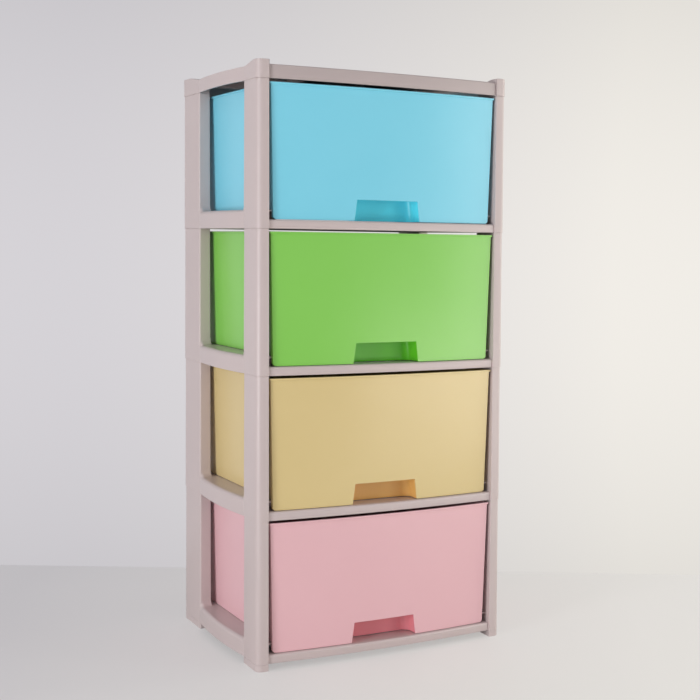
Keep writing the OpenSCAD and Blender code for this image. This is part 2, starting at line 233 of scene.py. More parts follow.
def group_with(name, kind, inputs, outputs):
    """A node group with named sockets, and its two end nodes."""
    tree = bpy.data.node_groups.new(name, kind)
    for label, socket, default in inputs:
        made = tree.interface.new_socket(label, in_out="INPUT", socket_type=socket)
        if default is not None:
            made.default_value = default
    for label, socket in outputs:
        tree.interface.new_socket(label, in_out="OUTPUT", socket_type=socket)
    return tree, tree.nodes.new("NodeGroupInput"), tree.nodes.new("NodeGroupOutput")


# ---- Plastics ----


def moulded_plastic_group():
    """Cloudy colour, uneven polish and fine skin of an injection moulding."""
    tree, given, result = group_with(
        "Moulded plastic", "ShaderNodeTree",
        [("Vector", "NodeSocketVector", None),
         ("Colour", "NodeSocketColor", (0.5, 0.5, 0.5, 1)),
         ("Cloud", "NodeSocketFloat", 0.03),
         ("Roughness", "NodeSocketFloat", 0.3),
         ("Unevenness", "NodeSocketFloat", 0.05),
         ("Skin", "NodeSocketFloat", 0.3)],
        [("Colour", "NodeSocketColor"), ("Roughness", "NodeSocketFloat"),
         ("Height", "NodeSocketFloat")])
    make = node_maker(tree)
    calc = math_maker(make)
    clouds = make("ShaderNodeTexNoise", {"Vector": given.outputs["Vector"],
                                         "Scale": 7.0, "Detail": 3.0, "Roughness": 0.55})
    smear = make("ShaderNodeTexNoise", {"Vector": given.outputs["Vector"],
                                        "Scale": 60.0, "Detail": 4.0, "Roughness": 0.6})
    skin = make("ShaderNodeTexNoise", {"Vector": given.outputs["Vector"],
                                       "Scale": 900.0, "Detail": 2.0, "Roughness": 0.5})
    drift = calc("MULTIPLY", calc("SUBTRACT", clouds.outputs["Fac"], 0.5), given.outputs["Cloud"])
    value = calc("ADD", drift, 1.0)
    tint = make("ShaderNodeHueSaturation", {"Color": given.outputs["Colour"], "Value": value,
                                            "Saturation": calc("SUBTRACT", 1.0, drift)})
    wave = calc("SUBTRACT", smear.outputs["Fac"], 0.5)
    rough = calc("ADD", given.outputs["Roughness"],
                 calc("MULTIPLY", wave, given.outputs["Unevenness"]))
    height = calc("ADD", calc("MULTIPLY", skin.outputs["Fac"], given.outputs["Skin"]),
                  clouds.outputs["Fac"])
    tree.links.new(tint.outputs["Color"], result.inputs["Colour"])
    tree.links.new(rough, result.inputs["Roughness"])
    tree.links.new(height, result.inputs["Height"])
    return tree


def plastic(name, colour, roughness, cloud, unevenness, skin, group):
    """A glossy or satin moulding plastic of one colour."""
    made = bpy.data.materials.new(name)
    made.use_nodes = True
    tree = made.node_tree
    make = node_maker(tree)
    shader = tree.nodes["Principled BSDF"]
    place = make("ShaderNodeTexCoord")
    body = make("ShaderNodeGroup",
                {"Vector": place.outputs["Object"], "Colour": (*colour, 1), "Cloud": cloud,
                 "Roughness": roughness, "Unevenness": unevenness, "Skin": skin},
                node_tree=group)
    bump = make("ShaderNodeBump", {"Height": body.outputs["Height"], "Strength": 0.06,
                                   "Distance": 0.001})
    tree.links.new(body.outputs["Colour"], shader.inputs["Base Color"])
    tree.links.new(body.outputs["Roughness"], shader.inputs["Roughness"])
    tree.links.new(bump.outputs["Normal"], shader.inputs["Normal"])
    shader.inputs["IOR"].default_value = 1.49
    made.diffuse_color = (*colour, 1)
    return made


def plastics():
    """The plastics of the frame, the cover, the drawers and their pockets, made once; the cover's
    is the frame's darkened by painted shade, and the pockets' are the drawers' in deeper tones as
    painted bounce light.
    """
    if "frame plastic" not in bpy.data.materials:
        finish = bpy.context.scene.tower_finish
        group = moulded_plastic_group()
        satin = (finish.frame_roughness, 0.05, 0.08, 0.5, group)
        glossy = (finish.roughness, 0.04, 0.05, 0.3, group)
        plastic("frame plastic", finish.frame_colour, *satin)
        # Painted shade: the frame's plastic darkened for the cover's panel and rims
        plastic("cover plastic", [finish.cover_painted_shade * c for c in finish.frame_colour], *satin)
        for name in ("pink", "cream", "green", "blue"):
            plastic(name + " plastic", getattr(finish, name), *glossy)
            # A deeper tone stands in for the light that bounces about in the finger pocket
            deep = plastic(name + " pocket", getattr(finish, name + "_pocket"), *glossy)
            shader = deep.node_tree.nodes["Principled BSDF"]
            shader.inputs["Specular IOR Level"].default_value = 0.3
    return bpy.data.materials


# ---- Mouldings ----


class Shell:
    """A moulding's points and faces, with the edges that get rounded."""

    def __init__(self):
        self.points = []
        self.faces = []
        self.plain = []
        self.second = []

    def loft(self, rings, ends=True, plain=False, second=False):
        """Joins closed rings of equal length, and closes both ends."""
        first = len(self.points)
        size = len(rings[0])
        start = len(self.faces)
        for ring in rings:
            self.points += [Vector(point) for point in ring]
        for row in range(len(rings) - 1):
            a = first + row * size
            for i in range(size):
                j = (i + 1) % size
                self.faces.append((a + i, a + j, a + size + j, a + size + i))
        if ends:
            last = first + (len(rings) - 1) * size
            self.faces.append(tuple(range(first + size - 1, first - 1, -1)))
            self.faces.append(tuple(range(last, last + size)))
        if plain:
            self.plain += range(start, len(self.faces))
        if second:
            self.second += range(start, len(self.faces))

    def block(self, low, high):
        """A box between two corners."""
        x0, y0, z0 = low
        x1, y1, z1 = high
        plan = [(x0, y0), (x1, y0), (x1, y1), (x0, y1)]
        self.loft([[(x, y, z0) for x, y in plan], [(x, y, z1) for x, y in plan]])

    def mirrored(self):
        """Adds the whole again on the other side of X = 0."""
        first, count = len(self.points), len(self.faces)
        self.points += [Vector((-p.x, p.y, p.z)) for p in self.points]
        self.faces += [tuple(first + i for i in reversed(face)) for face in self.faces]
        self.plain += [count + i for i in self.plain]
        self.second += [count + i for i in self.second]

    def turned_over(self):
        """The same moulding for the other side of X = 0."""
        other = Shell()
        other.points = [Vector((-p.x, p.y, p.z)) for p in self.points]
        other.faces = [tuple(reversed(face)) for face in self.faces]
        other.plain = list(self.plain)
        other.second = list(self.second)
        return other

    def made(self, name, materials, edge, crease=42, lift=0.0):
        """The moulding as an object whose sharp edges are rounded by a bevel."""
        mesh = bpy.data.meshes.new(name)
        mesh.from_pydata([p + Vector((0, 0, lift)) for p in self.points], [], self.faces)
        for material in materials:
            mesh.materials.append(material)
        # Faces of the second material carry painted light: painted shade on the cover, painted
        # bounce light in the drawers' pockets
        for i in self.second:
            mesh.polygons[i].material_index = 1
        work = bmesh.new()
        work.from_mesh(mesh)
        work.faces.ensure_lookup_table()
        plain = {work.faces[i] for i in self.plain}
        bmesh.ops.remove_doubles(work, verts=work.verts, dist=1e-7)
        bmesh.ops.recalc_face_normals(work, faces=work.faces)
        weight = work.edges.layers.float.new("bevel_weight_edge")
        for face in work.faces:
            face.smooth = True
        for side in work.edges:
            if len(side.link_faces) != 2:
                continue
            if side.calc_face_angle() > math.radians(crease):
                if plain.isdisjoint(side.link_faces):
                    side[weight] = 1
                else:
                    side.smooth = False
        work.to_mesh(mesh)
        work.free()
        made = new_object(name, mesh)
        soft = made.modifiers.new("Edges", "BEVEL")
        soft.width = edge
        soft.segments = 3
        soft.limit_method = "WEIGHT"
        soft.use_clamp_overlap = False
        soft.harden_normals = True
        return made


def arc(centre, radius, start, sweep, steps):
    """Points of an arc in a plan, from a start angle through a sweep in degrees."""
    return [(centre[0] + radius * math.cos(math.radians(start + sweep * i / steps)),
             centre[1] + radius * math.sin(math.radians(start + sweep * i / steps)))
            for i in range(steps + 1)]


def bow_at(t, half, bow):
    """How far a shallow arc over a chord from -half to half stands out at t."""
    radius = (half * half + bow * bow) / (2 * bow)
    return math.sqrt(radius * radius - t * t) - (radius - bow)


def spread(low, high, steps):
    return [low + (high - low) * i / steps for i in range(steps + 1)]


# ---- The frame's mouldings, drawn for the left side ----


def post_plan(shape, front, inset=0.0):
    """Plan of a left post: a big rounding outside, a small one beside the window."""
    depth = shape.front_post if front else shape.rear_post
    facing = -1 if front else 1
    out_x, in_x = -HALF_W, -POST_INNER_X
    end_y = facing * HALF_D
    gap_y = end_y - facing * depth
    big, small = shape.post_round, shape.post_edge
    far = [(out_x + big - big * math.cos(a), end_y - facing * (big - big * math.sin(a)))
           for a in spread(0, math.pi / 2, 10)]
    near = [(out_x + small - small * math.sin(a), gap_y + facing * (small - small * math.cos(a)))
            for a in spread(0, math.pi / 2, 5)]
    return near + far + [(in_x, end_y), (in_x, gap_y)]


def window_span(shape):
    return shape.front_post - HALF_D, HALF_D - shape.rear_post


def side_bow_at(shape, y):
    low, high = window_span(shape)
    return bow_at(y - (low + high) / 2, (high - low) / 2, shape.side_bow)


def side_frame_shell(shape):
    """Two posts, the bowed rail with its fillets, and the runner with its ribs."""
    shell = Shell()
    for front in (True, False):
        plan = post_plan(shape, front)
        depth = shape.front_post if front else shape.rear_post
        y0 = plan[-1][1]
        shrink_x = 1 - shape.post_draft / (HALF_W - POST_INNER_X)
        shrink_y = 1 - shape.post_draft / depth
        top = [(-POST_INNER_X + (x + POST_INNER_X) * shrink_x, y0 + (y - y0) * shrink_y)
               for x, y in plan]
        shell.loft([[(x, y, 0) for x, y in plan], [(x, y, TIER) for x, y in top]])
    low, high = window_span(shape)
    wall, height, big = shape.frame_wall, shape.side_rail, shape.side_round
    inner = big - wall
    end_x = shape.runner - POST_INNER_X
    rings = []
    for y in spread(low - wall / 2, high + wall / 2, BOW_STEPS):
        face = -HALF_W - side_bow_at(shape, y)
        outline = [(face, 0)]
        outline += arc((face + big, height - big), big, 180, -90, 9)
        outline += [(end_x, height), (end_x, 0), (end_x - wall, 0), (end_x - wall, height - wall),
                    (-POST_INNER_X, height - wall), (-POST_INNER_X, 0),
                    (-POST_INNER_X - wall, 0), (-POST_INNER_X - wall, height - wall)]
        outline += arc((face + big, height - big), inner, 90, 90, 6)
        outline += [(face + wall, 0)]
        rings.append([(x, y, z) for x, z in outline])
    shell.loft(rings)
    reach = shape.runner_half
    for a, b in ((-reach, low), (high, reach)):
        shell.block((-POST_INNER_X - wall / 2, a, height - wall), (end_x, b, height))
        c, d = max(a, -shape.flange_half), min(b, shape.flange_half)
        shell.block((end_x - wall, c, 2 * STAGGER), (end_x, d, height - wall / 2))
    for i in range(shape.runner_ribs):
        y = low + (high - low) * (i + 1) / (shape.runner_ribs + 1)
        outer = -HALF_W - side_bow_at(shape, y)
        shell.block((outer + wall / 2, y - wall / 2, 3 * STAGGER),
                    (end_x - wall / 2, y + wall / 2, height - big))
        shell.block((outer + big, y - wall / 2, height - big - 5 * STAGGER),
                    (end_x - wall / 2, y + wall / 2, height - wall / 2))
    for y, way in ((low, 1), (high, -1)):
        shell.loft(fillet_rings(shape, y, way), plain=True)
    return shell


def fillet_rings(shape, y, way):
    """Sections of the curve that runs from the rail's top up into a post."""
    big, height, hidden = shape.side_round, shape.side_rail, 0.0012
    rings = []
    for x, z, radius in ([(-POST_INNER_X, height, shape.window_round)]
                         + [(-HALF_W + big - big * math.sin(a), height - big + big * math.cos(a),
                             shape.window_round * math.cos(a) ** 0.6)
                            for a in spread(0, math.radians(68), 8)]):
        curve = [(y + way * radius * (1 - math.sin(a)), z + radius * (1 - math.cos(a)))
                 for a in spread(0, math.pi / 2, 10)]
        curve += [(y - way * hidden, z + radius), (y - way * hidden, z - hidden),
                  (y + way * radius, z - hidden)]
        rings.append([(x, b, c) for b, c in curve])
    return rings


def cap_and_rim_shell(shape):
    """The cover: four swept caps, the rims, the panel and its ribs."""
    shell = Shell()
    rim, cap, sweep, wall = shape.rim_height, shape.cap_height, shape.cap_sweep, shape.frame_wall
    for front in (True, False):
        facing = -1 if front else 1
        depth = shape.front_post if front else shape.rear_post
        big, small = shape.post_round, shape.post_edge
        stations = [big * (1 - math.cos(a)) for a in spread(0, math.pi / 2, 12)]
        stations += spread(big, depth, 24)[1:-1]
        stations += [depth - small * (1 - math.sin(a)) for a in spread(0, math.pi / 2, 4)][:-1]
        stations += [depth]
        rings = []
        for d in sorted(set(stations)):
            out = big - math.sqrt(max(big * big - (big - d) ** 2, 0)) if d < big else 0.0
            if d > depth - small:
                out = small - math.sqrt(max(small * small - (d - depth + small) ** 2, 0))
            t = min(max((d - depth + sweep) / sweep, 0), 1)
            top = rim + (cap - rim) * (1 + math.cos(math.pi * t)) / 2
            y = facing * (HALF_D - d)
            rings.append([(-HALF_W + out, y, 0), (-HALF_W + out, y, top),
                          (-POST_INNER_X, y, top), (-POST_INNER_X, y, 0)])
        shell.loft(rings)
    low, high = window_span(shape)
    sunk = 0.001  # how far the side rims run into the caps
    rings = []
    for y in spread(low - sunk, high + sunk, BOW_STEPS):
        face = -HALF_W - side_bow_at(shape, y)
        rings.append([(face, y, 0), (face, y, rim), (-POST_INNER_X, y, rim),
                      (-POST_INNER_X, y, rim - wall), (face + wall, y, rim - wall),
                      (face + wall, y, 0)])
    shell.loft(rings)
    shell.mirrored()
    edge = shape.rim_round
    rings = []
    for x in spread(-POST_INNER_X, POST_INNER_X, CROSS_STEPS):
        face = HALF_D - shape.cross_setback + bow_at(x, POST_INNER_X, shape.rail_bow)
        half = [(face, shape.rim_lift)]
        half += arc((face - edge, rim - edge), edge, 0, 90, 6)
        inside = [(face - wall, rim - wall), (face - wall, shape.rim_lift)]
        outline = [(-y, z) for y, z in half] + [(y, z) for y, z in reversed(half)]
        outline += [(y, z) for y, z in reversed(inside)] + [(-y, z) for y, z in inside]
        rings.append([(x, y, z) for y, z in outline])
    # The panel with its front and rear rims takes the second material, the frame's plastic darkened
    # by painted shade
    shell.loft(rings, second=True)
    count = shape.cover_ribs
    for i in range(count):
        x = POST_INNER_X * (2 * (i + 1) / (count + 1) - 1)
        reach = HALF_D - shape.cross_setback + bow_at(x, POST_INNER_X, shape.rail_bow) - wall / 2
        shell.block((x - wall / 2, -reach, rim / 2), (x + wall / 2, reach, rim - wall / 2))
        y = HALF_D * (2 * (i + 1) / (count + 1) - 1)
        shell.block((-POST_INNER_X, y - wall / 2, rim / 2 + STAGGER),
                    (POST_INNER_X, y + wall / 2, rim - wall / 2))
    return shell


# ---- The drawer, measured from the middle of its front panel's lower edge ----


def drawer_place(shape, x, y, z):
    """Leans a point of the drawer's plan outwards as it rises."""
    share = z / shape.drawer_height
    lean = shape.front_draft + shape.rear_draft
    foot_run = shape.drawer_length - lean
    still = foot_run * shape.front_draft / lean
    wider = 1 + share * shape.side_draft / shape.panel_half
    longer = 1 + share * lean / foot_run
    face = shape.drawer_setback - HALF_D
    return Vector((x * wider, face + still + (y - still) * longer, z))


def drawer_bow(shape, x):
    half = shape.panel_half + BOW_MARGIN
    return bow_at(min(abs(x), half), half, shape.rail_bow)


def recess_half(shape, z):
    return shape.recess_width / 2 * (1 - z * shape.recess_taper
                                     / (shape.recess_height * shape.recess_width))


def panel_shell(shape):
    """The bowed front with its side returns, cut away below for the fingers."""
    shell = Shell()
    wall, half, height = shape.drawer_wall, shape.panel_half, shape.drawer_height
    inner = half - shape.panel_flange - wall
    mouth = shape.recess_width / 2
    columns = (spread(-half, -mouth, 20) + spread(-mouth, mouth, 16)[1:]
               + spread(mouth, half, 20)[1:])
    first, last = columns.index(-mouth), len(columns) - 1 - columns[::-1].index(mouth)
    top = shape.recess_height
    rows = [0, shape.panel_chamfer] + spread(shape.panel_chamfer, top, 4)[1:]
    rows += spread(top, height - 4 * STAGGER, 16)[1:]
    notch = rows.index(top)
    count = len(columns)
    size = 2 * count + 4
    for z in rows:
        lean = 1 + z / height * shape.side_draft / half
        edge = recess_half(shape, min(z, top)) / lean
        reach = half - (shape.panel_chamfer if z == 0 else 0)
        line = []
        for x in columns:
            if abs(x) <= mouth:
                line.append(x * edge / mouth)
            else:
                far = edge + (abs(x) - mouth) * (half - edge) / (half - mouth)
                line.append(math.copysign(min(far, reach), x))
        face = [(x, -drawer_bow(shape, x)) for x in line]
        held = [math.copysign(min(abs(x), inner), x) for x in line]
        back = [(x, wall - drawer_bow(shape, x)) for x in held]
        turn = shape.panel_return
        outline = (face + [(reach, turn), (inner, turn)] + back[::-1]
                   + [(-inner, turn), (-reach, turn)])
        shell.points += [drawer_place(shape, x, y, z) for x, y in outline]

    def twin(k):
        return size - 3 - k

    for r in range(len(rows) - 1):
        a, b = r * size, (r + 1) * size
        for k in range(size):
            cut = first <= k < last or twin(last) <= k < twin(first)
            if r < notch and cut:
                continue
            n = (k + 1) % size
            shell.faces.append((a + k, a + n, b + n, b + k))
        if r < notch:
            for k in (first, last):
                shell.faces.append((a + k, b + k, b + twin(k), a + twin(k)))
    row = notch * size
    for k in range(first, last):
        shell.faces.append((row + k, row + k + 1, row + twin(k + 1), row + twin(k)))
    end = (len(rows) - 1) * size
    shell.faces.append(tuple(range(end, end + size)))
    shell.faces.append(tuple(list(range(0, first + 1)) + list(range(twin(first), size))))
    shell.faces.append(tuple(range(last, twin(last) + 1)))
    return shell


def tub_path(shape, grow, start):
    """From the left of the front, round the rear and back, with fixed steps."""
    half = shape.panel_half - shape.panel_flange + grow
    end = shape.drawer_length - shape.front_draft - shape.rear_draft + grow
    r = shape.tub_round + grow
    left = [(-half, y) for y in spread(start, end - r, 12)]
    corner = arc((-half + r, end - r), r, 180, -90, 10)[1:]
    points = left + corner
    back = [(x, end) for x in spread(-half + r, half - r, 12)[1:-1]]
    return points + back + [(-x, y) for x, y in reversed(points)]


def recess_path(shape, z, grow):
    """Round the recess, from the left of its mouth to the right."""
    half = recess_half(shape, z) + grow
    back = shape.recess_depth - shape.rail_bow + grow
    r = shape.recess_round + grow
    front = shape.drawer_wall / 2 - drawer_bow(shape, half)
    left = [(-half, front)] + arc((-half + r, back - r), r, 180, -90, 8)
    return left + [(-x, y) for x, y in reversed(left)]


def drawer_shell(shape):
    """One moulding: panel, walls, floor, rim bead and the pocket for the fingers."""
    shell = panel_shell(shape)
    wall, top = shape.drawer_wall, shape.drawer_height
    floor = shape.floor_rise
    foot, under = floor + 2 * STAGGER, top - 4 * STAGGER
    edge = shape.panel_half - shape.panel_flange
    start = shape.panel_return - 5 * STAGGER
    outside, inside = tub_path(shape, 0, start), tub_path(shape, -wall, start)
    rings = []
    for (a, b), (c, d) in zip(outside, inside):
        rings.append([drawer_place(shape, *spot) for spot in (
            (a, b, foot), (a, b, under), (c, d, under), (c, d, foot))])
    shell.loft(rings)

    # The floor, cut away round the recess
    bounds = tub_path(shape, -wall / 2, LAP - drawer_bow(shape, edge))
    reach = bounds[-1][0]
    mouth = recess_path(shape, floor, wall / 2)
    front = [(x, LAP - drawer_bow(shape, x)) for x in spread(reach, -mouth[0][0], 12)[1:-1]]
    outline = bounds + front + mouth[::-1] + [(-x, y) for x, y in reversed(front)]
    shell.loft([[drawer_place(shape, x, y, z) for x, y in outline] for z in (floor, floor + wall)])

    # The rim's bead, all the way round
    out, skin = shape.bead_width, 0.95 * wall
    rings = []

    def section(a, b, c, d):
        rings.append([drawer_place(shape, a, b, top - shape.bead_height),
                      drawer_place(shape, a, b, top), drawer_place(shape, c, d, top),
                      drawer_place(shape, c, d, top - shape.bead_height)])

    half, turn = shape.panel_half, shape.panel_return
    for x in spread(-half - out, half + out, CROSS_STEPS):
        y = -drawer_bow(shape, x)
        section(x, y - out, max(min(x, half - out), out - half), y + skin)
    section(half + out, turn + out, edge - skin, turn)
    section(edge + out, turn + out, edge - skin, turn + wall)
    start = turn + 2 * wall
    for (a, b), (c, d) in zip(reversed(tub_path(shape, out, start)),
                              reversed(tub_path(shape, -skin, start))):
        section(a, b, c, d)
    section(-edge - out, turn + out, skin - edge, turn + wall)
    section(-half - out, turn + out, skin - edge, turn)
    shell.loft(rings + rings[:1], ends=False)

    # The pocket's hood, whose front ends lie inside the panel
    hook = shape.recess_height + shape.recess_hook
    low_out, high_out = (recess_path(shape, z, wall) for z in (0, hook))
    low_in, high_in = (recess_path(shape, z, 1.5 * STAGGER) for z in (0, hook))
    count = len(low_out)
    base = len(shell.points)
    rim = 2 * STAGGER
    for path, z in ((low_out, rim), (high_out, hook + wall), (high_in, hook), (low_in, rim)):
        shell.points += [Vector((x, shape.drawer_setback - HALF_D + y, z)) for x, y in path]
    # The pocket's inner walls and ceiling take the pocket tone, which is painted bounce light
    for k in range(4):
        a, b = base + k * count, base + (k + 1) % 4 * count
        if k == 1:
            shell.faces.append((a, a + count - 1, b + count - 1, b))
            continue
        for i in range(count - 1):
            if k == 2:
                shell.second.append(len(shell.faces))
            shell.faces.append((a + i, a + i + 1, b + i + 1, b + i))
    shell.faces.append(tuple(range(base + count, base + 2 * count)))
    shell.second.append(len(shell.faces))
    shell.faces.append(tuple(range(base + 2 * count, base + 3 * count)))
    for i in (0, count - 1):
        shell.faces.append(tuple(base + k * count + i for k in range(4)))
    return shell


def dress(piece, body, slot, *nodes):
    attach(piece, body)
    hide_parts(*nodes)


def rail_profile(shape, height):
    """Closed outline of a cross rail's channel, turned over as the sweep turns it back:
    -X is the distance behind the face and -Y is up."""
    depth, wall, big = shape.rail_depth, shape.frame_wall, shape.rail_round
    small = wall / 4
    outline = []

    def corner(x, y, radius, start, steps):
        for i in range(steps + 1):
            angle = math.radians(start + 90 * i / steps)
            outline.append((x + radius * math.cos(angle), y + radius * math.sin(angle)))

    corner(depth - small, height - small, small, 0, 3)
    corner(big, height - big, big, 90, 8)
    corner(small, small, small, 180, 3)
    corner(wall - small, small, small, 270, 3)
    inner = max(big - wall, small)
    outline += [(wall, height - wall - inner), (wall + inner, height - wall),
                (depth - wall, height - wall)]
    corner(depth - wall + small, small, small, 180, 3)
    corner(depth - small, small, small, 270, 3)
    return outline


def bowed_rail_tree():
    """Sweeps a channel's outline along a rail, bows its face and sets ribs inside it."""
    tree, given, result = group_with(
        "Bowed rail", "GeometryNodeTree",
        [("Outline", "NodeSocketGeometry", None),
         ("Half Length", "NodeSocketFloat", 0.193),
         ("Face", "NodeSocketFloat", 0.1465),
         ("Bow", "NodeSocketFloat", 0.007),
         ("Depth", "NodeSocketFloat", 0.04),
         ("Height", "NodeSocketFloat", 0.013),
         ("Wall", "NodeSocketFloat", 0.0024),
         ("Foot", "NodeSocketFloat", 0.01),
         ("Ribs", "NodeSocketInt", 7),
         ("Steps", "NodeSocketInt", 49),
         ("Plastic", "NodeSocketMaterial", None)],
        [("Rail", "NodeSocketGeometry")])
    make = node_maker(tree)
    calc = math_maker(make)
    half, bow = given.outputs["Half Length"], given.outputs["Bow"]

    def point(x=0.0, y=0.0, z=0.0):
        return make("ShaderNodeCombineXYZ", {0: x, 1: y, 2: z}).outputs[0]

    radius = calc("DIVIDE", calc("ADD", calc("MULTIPLY", half, half), calc("MULTIPLY", bow, bow)),
                  calc("MULTIPLY", bow, 2.0))
    here = make("ShaderNodeSeparateXYZ", {0: make("GeometryNodeInputPosition").outputs[0]})
    across, behind = here.outputs[0], here.outputs[1]
    bulge = calc("SUBTRACT",
                 calc("SQRT", calc("SUBTRACT", calc("MULTIPLY", radius, radius),
                                   calc("MULTIPLY", across, across))),
                 calc("SUBTRACT", radius, bow))

    # The channel, drawn along X with the outline's X behind the face
    path = make("GeometryNodeCurvePrimitiveLine",
                {"Start": point(calc("MULTIPLY", half, -1.0)), "End": point(half)})
    even = make("GeometryNodeResampleCurve", {"Curve": path.outputs[0],
                                              "Count": given.outputs["Steps"]})
    upright = make("GeometryNodeSetCurveNormal", {"Curve": even.outputs[0]}, mode="Z_UP")
    outline = make("GeometryNodeMeshToCurve", {"Mesh": given.outputs["Outline"]})
    skin = make("GeometryNodeCurveToMesh", {"Curve": upright.outputs[0],
                                            "Profile Curve": outline.outputs[0],
                                            "Fill Caps": True})
    reach = calc("SUBTRACT", given.outputs["Depth"], calc("MULTIPLY", given.outputs["Wall"], 1.5))
    in_front = make("FunctionNodeCompare", {0: behind, 1: reach}, operation="LESS_THAN",
                    data_type="FLOAT")
    bowed = make("GeometryNodeSetPosition",
                 {"Geometry": skin.outputs[0], "Selection": in_front.outputs[0],
                  "Offset": point(0.0, calc("MULTIPLY", bulge, -1.0))})

    # Ribs across the channel, each as long as the bow lets it be
    step = calc("DIVIDE", calc("MULTIPLY", half, 2.0), calc("ADD", given.outputs["Ribs"], 1.0))
    first = calc("SUBTRACT", step, half)
    spots = make("GeometryNodeMeshLine", {"Count": given.outputs["Ribs"],
                                          "Start Location": point(first), "Offset": point(step)})
    wall = given.outputs["Wall"]
    clear = calc("SUBTRACT", given.outputs["Depth"], wall)
    rib_height = calc("SUBTRACT", given.outputs["Height"], wall)
    long = calc("ADD", clear, bulge)
    middle = calc("DIVIDE", calc("SUBTRACT", clear, bulge), 2.0)
    measured = make("GeometryNodeStoreNamedAttribute",
                    {"Geometry": spots.outputs[0], "Name": "length", "Value": long},
                    data_type="FLOAT", domain="POINT")
    placed = make("GeometryNodeSetPosition",
                  {"Geometry": measured.outputs[0],
                   "Offset": point(0.0, calc("ADD", middle, calc("DIVIDE", wall, 2.0)),
                                   calc("DIVIDE", rib_height, 2.0))})
    plate = make("GeometryNodeMeshCube",
                 {"Size": point(calc("MULTIPLY", wall, 0.8), 1.0, rib_height)})
    read = make("GeometryNodeInputNamedAttribute", {"Name": "length"}, data_type="FLOAT")
    ribs = make("GeometryNodeInstanceOnPoints",
                {"Points": placed.outputs[0], "Instance": plate.outputs[0],
                 "Scale": point(1.0, read.outputs[0], 1.0)})
    both = make("GeometryNodeJoinGeometry")
    tree.links.new(ribs.outputs[0], both.inputs[0])
    tree.links.new(bowed.outputs[0], both.inputs[0])
    lift = make("GeometryNodeTransform",
                {"Geometry": both.outputs[0],
                 "Translation": point(0.0, calc("MULTIPLY", given.outputs["Face"], -1.0),
                                      given.outputs["Foot"])})
    real = make("GeometryNodeRealizeInstances", {"Geometry": lift.outputs[0]})
    painted = make("GeometryNodeSetMaterial", {"Geometry": real.outputs[0],
                                               "Material": given.outputs["Plastic"]})
    tree.links.new(painted.outputs[0], result.inputs["Rail"])
    return tree


def set_inputs(modifier, **values):
    """Sets a tree's named inputs by their identifiers."""
    for item in modifier.node_group.interface.items_tree:
        if item.item_type == "SOCKET" and item.in_out == "INPUT":
            key = item.name.lower().replace(" ", "_")
            if key in values:
                modifier[item.identifier] = values[key]


def settled(made):
    """Turns an object's live modifiers into a plain mesh."""
    bpy.context.view_layer.update()
    final = bpy.data.meshes.new_from_object(
        made.evaluated_get(bpy.context.evaluated_depsgraph_get()))
    made.modifiers.clear()
    made.data = final
    return made


def tidied(mesh, turned=False):
    """Merges doubles, points faces outwards and sets smooth shading with sharp creases."""
    work = bmesh.new()
    work.from_mesh(mesh)
    bmesh.ops.remove_doubles(work, verts=work.verts, dist=1e-7)
    if turned:
        bmesh.ops.rotate(work, verts=work.verts, matrix=Matrix.Rotation(math.pi, 3, "Z"))
    bmesh.ops.recalc_face_normals(work, faces=work.faces)
    for face in work.faces:
        face.smooth = True
    work.to_mesh(mesh)
    work.free()
    mesh.set_sharp_from_angle(angle=math.radians(35))


# ---- One operator for each piece or group of like pieces ----


class TOWER_OT_side_frames(bpy.types.Operator):
    """Build the eight stacked side frames"""

    bl_idname = "tower.side_frames"
    bl_label = "Side frames"

    def execute(self, context):
        shape = context.scene.tower_shape
        shell = side_frame_shell(shape)
        for side in ("left", "right"):
            for tier in TIERS:
                node = f"{side}_side_{tier}"
                whole = shell if side == "left" else shell.turned_over()
                piece = whole.made(node + "_moulding", [plastics()["frame plastic"]],
                                   shape.frame_edge, lift=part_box(node)[0].z)
                dress(piece, "frame", "frame", node)
        return {"FINISHED"}


class TOWER_OT_cross_rails(bpy.types.Operator):
    """Sweep the bowed channel rails between the side frames"""

    bl_idname = "tower.cross_rails"
    bl_label = "Cross rails"

    def execute(self, context):
        shape = context.scene.tower_shape
        tree = bowed_rail_tree()
        for tier in TIERS:
            for end in ("front", "rear"):
                node = f"{end}_rail_{tier}"
                low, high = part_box(node)
                outline = bpy.data.meshes.new(node + "_channel")
                points = [(-x, -y, 0) for x, y in rail_profile(shape, high.z - low.z)]
                loop = [(i, (i + 1) % len(points)) for i in range(len(points))]
                outline.from_pydata(points, loop, [])
                piece = new_object(node + "_channel", outline)
                sweep = piece.modifiers.new("Sweep", "NODES")
                sweep.node_group = tree
                face = max(abs(low.y), abs(high.y)) - shape.rail_bow
                set_inputs(sweep, half_length=POST_INNER_X, face=face, bow=shape.rail_bow,
                           depth=shape.rail_depth, height=high.z - low.z, wall=shape.frame_wall,
                           foot=low.z, ribs=shape.rail_ribs, plastic=plastics()["frame plastic"])
                settled(piece)
                tidied(piece.data, turned=end == "rear")
                dress(piece, "frame", "frame", node)
        return {"FINISHED"}


class TOWER_OT_feet(bpy.types.Operator):
    """Build the four feet"""

    bl_idname = "tower.feet"
    bl_label = "Feet"

    def execute(self, context):
        shape = context.scene.tower_shape
        for end in ("front", "rear"):
            for side in ("left", "right"):
                node = f"foot_{end}_{side}"
                plan = post_plan(shape, end == "front")
                shell = Shell()
                shell.loft([[(x, y, z) for x, y in plan] for z in (0, FOOT_SEAM)])
                whole = shell if side == "left" else shell.turned_over()
                piece = whole.made(node + "_plug", [plastics()["frame plastic"]], shape.frame_edge)
                dress(piece, "frame", "frame", node)
        return {"FINISHED"}


